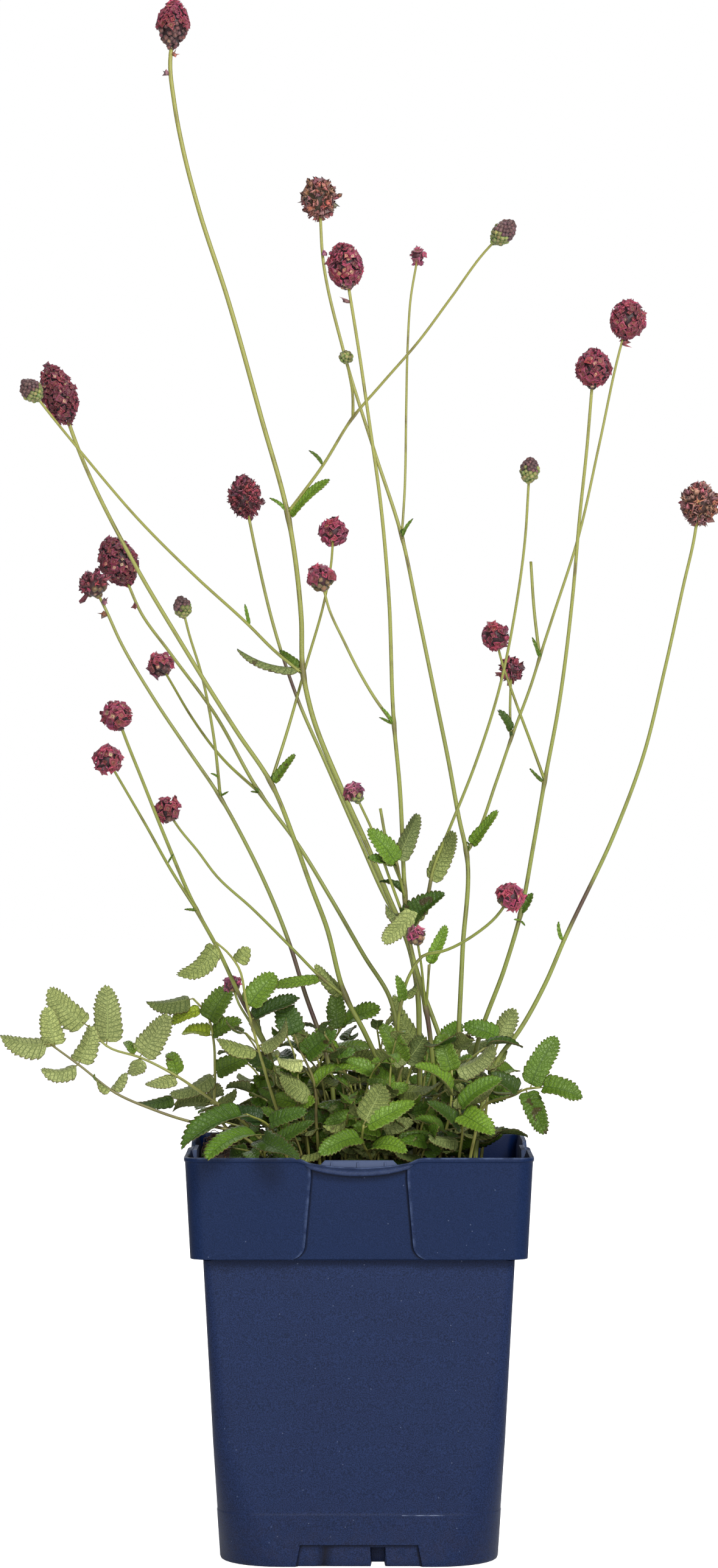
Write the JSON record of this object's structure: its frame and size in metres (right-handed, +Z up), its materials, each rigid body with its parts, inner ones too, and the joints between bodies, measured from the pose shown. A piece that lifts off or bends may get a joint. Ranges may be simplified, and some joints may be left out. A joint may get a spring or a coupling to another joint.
{
  "type": "potted tanna great burnet",
  "caption": "Perennial with wiry branching stems, small crimson bottle-brush heads and toothed feather leaves, in a square blue nursery pot.",
  "frame": {"origin": "on the ground under the middle of the pot, midway between the plant's furthest reaches", "axes": "+Z up, the longest way of the part; the front of the plant faces -Y and +X is to the right"},
  "size_m": [0.234, 0.1427, 0.5093],
  "materials": {
    "pot": "fine grained moulded polypropylene, dark blue, slightly scuffed",
    "soil": "dry dark peat compost with fibres",
    "stems": "ribbed yellow-green stem with purple-brown flecks",
    "fronds": "satin green leaf with sunken veins, paler below",
    "head_crimson": "crimson florets",
    "head_dark": "dark maroon florets",
    "head_faded": "faded brown florets",
    "head_pink": "pink opening buds",
    "head_bud": "tight green and brown buds"
  },
  "bodies": {
    "root": {"frond_01": "fronds", "frond_02": "fronds", "frond_03": "fronds", "frond_04": "fronds", "frond_05": "fronds", "frond_06": "fronds", "frond_07": "fronds", "frond_08": "fronds", "frond_09": "fronds", "frond_10": "fronds", "frond_11": "fronds", "frond_12": "fronds", "frond_13": "fronds", "frond_14": "fronds", "frond_15": "fronds", "frond_16": "fronds", "frond_17": "fronds", "frond_18": "fronds", "frond_19": "fronds", "head_01": "head_crimson", "head_02": "head_bud", "head_03": "head_bud", "head_04": "head_bud", "head_05": "head_faded", "head_06": "head_faded", "head_07": "head_pink", "head_08": "head_crimson", "head_09": "head_faded", "head_10": "head_crimson", "head_11": "head_crimson", "head_12": "head_bud", "head_13": "head_pink", "head_14": "head_faded", "head_15": "head_dark", "head_16": "head_crimson", "head_17": "head_crimson", "head_18": "head_dark", "head_19": "head_crimson", "head_20": "head_faded", "head_21": "head_pink", "head_22": "head_dark", "head_23": "head_crimson", "head_24": "head_pink", "head_25": "head_faded", "head_26": "head_crimson", "head_27": "head_crimson", "head_28": "head_pink", "pot": "pot", "soil": "soil", "stem_01": "stems", "stem_02": "stems", "stem_03": "stems", "stem_04": "stems", "stem_05": "stems", "stem_06": "stems", "stem_07": "stems", "stem_08": "stems", "stem_09": "stems", "stem_10": "stems", "stem_11": "stems"}
  },
  "joints": []
}
